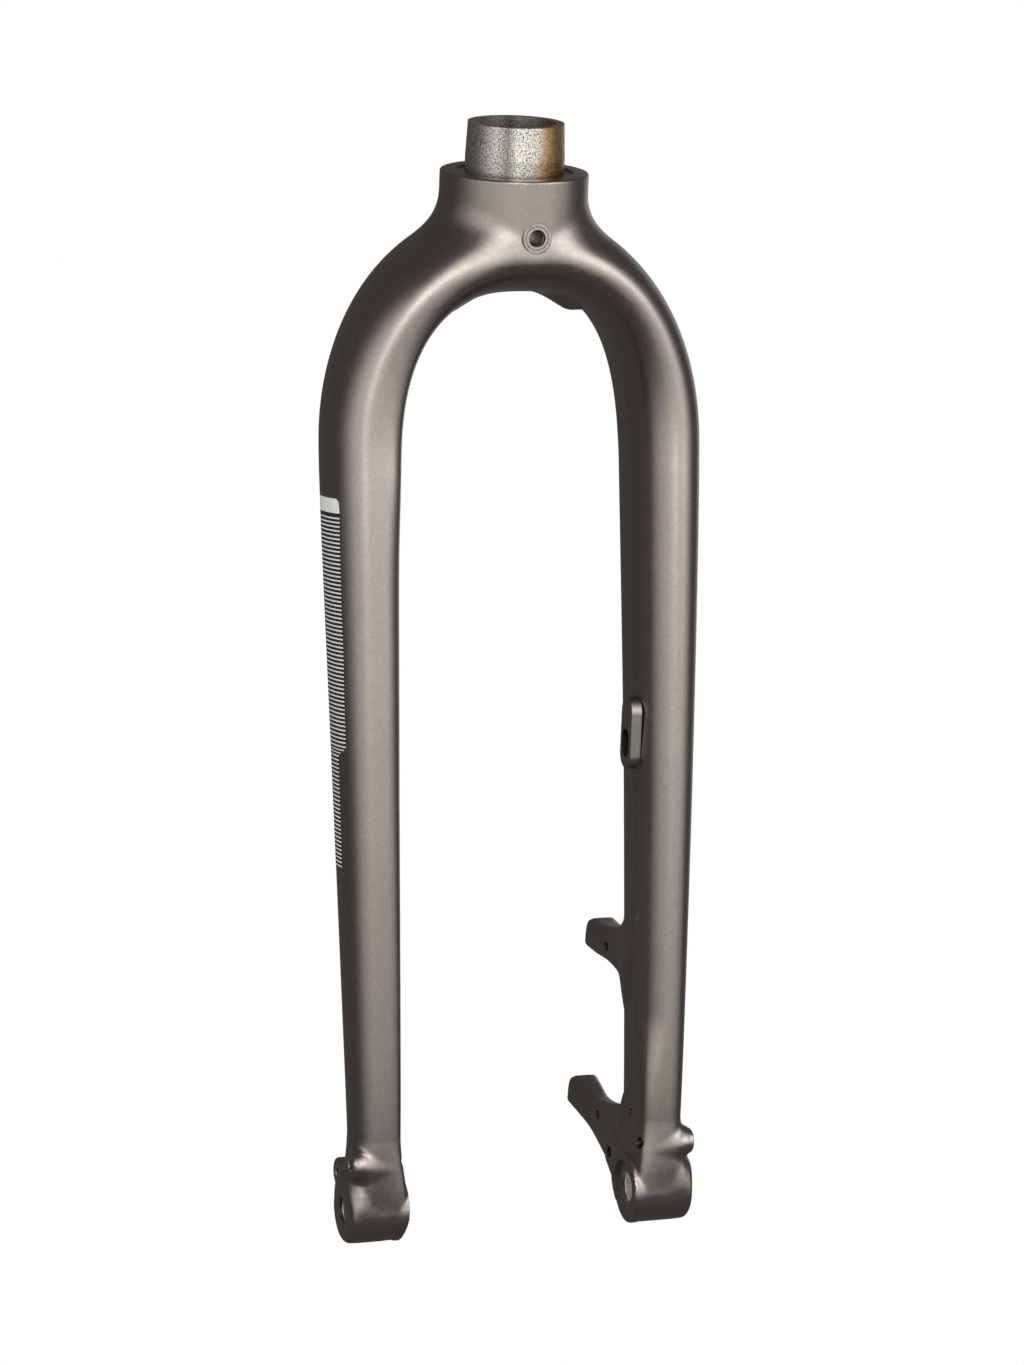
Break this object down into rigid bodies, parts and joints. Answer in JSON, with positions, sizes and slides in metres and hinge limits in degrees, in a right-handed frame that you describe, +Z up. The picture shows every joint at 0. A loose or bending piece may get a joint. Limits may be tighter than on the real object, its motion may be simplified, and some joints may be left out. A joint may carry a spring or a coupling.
{
  "type": "bicycle fork",
  "caption": "Disc-brake bicycle fork: moulded crown and bowed legs with dropouts, brake tabs, eyelets, a hose port and a cut steerer stub.",
  "frame": {"origin": "centre of the crown's top face, on the steerer axis", "axes": "+Z up the steerer, -Y to the front of the bicycle, +X to the disc brake's side"},
  "size_m": [0.1578, 0.0913, 0.4503],
  "materials": {
    "body_finish": "satin metallic paint, warm grey with fine flake",
    "steerer_metal": "raw, speckled, with brown stains",
    "insert_metal": "machined, fine radial grooves on the flange",
    "axle_metal": "bare, machined",
    "eyelet_metal": "bare, tapped",
    "post_metal": "bare, faced and tapped",
    "port_finish": "satin metallic paint, as the body"
  },
  "bodies": {
    "root": {"fork_body": "body_finish", "steerer_tube": "steerer_metal", "crown_insert": "insert_metal", "axle_thread_sleeve": "axle_metal", "axle_bush": "axle_metal", "eyelet_sleeve_front_drive": "eyelet_metal", "eyelet_sleeve_rear_drive": "eyelet_metal", "eyelet_sleeve_front_disc": "eyelet_metal", "eyelet_sleeve_rear_disc": "eyelet_metal", "brake_post_sleeve_lower": "post_metal", "brake_post_sleeve_upper": "post_metal", "hose_port": "port_finish"}
  },
  "joints": []
}
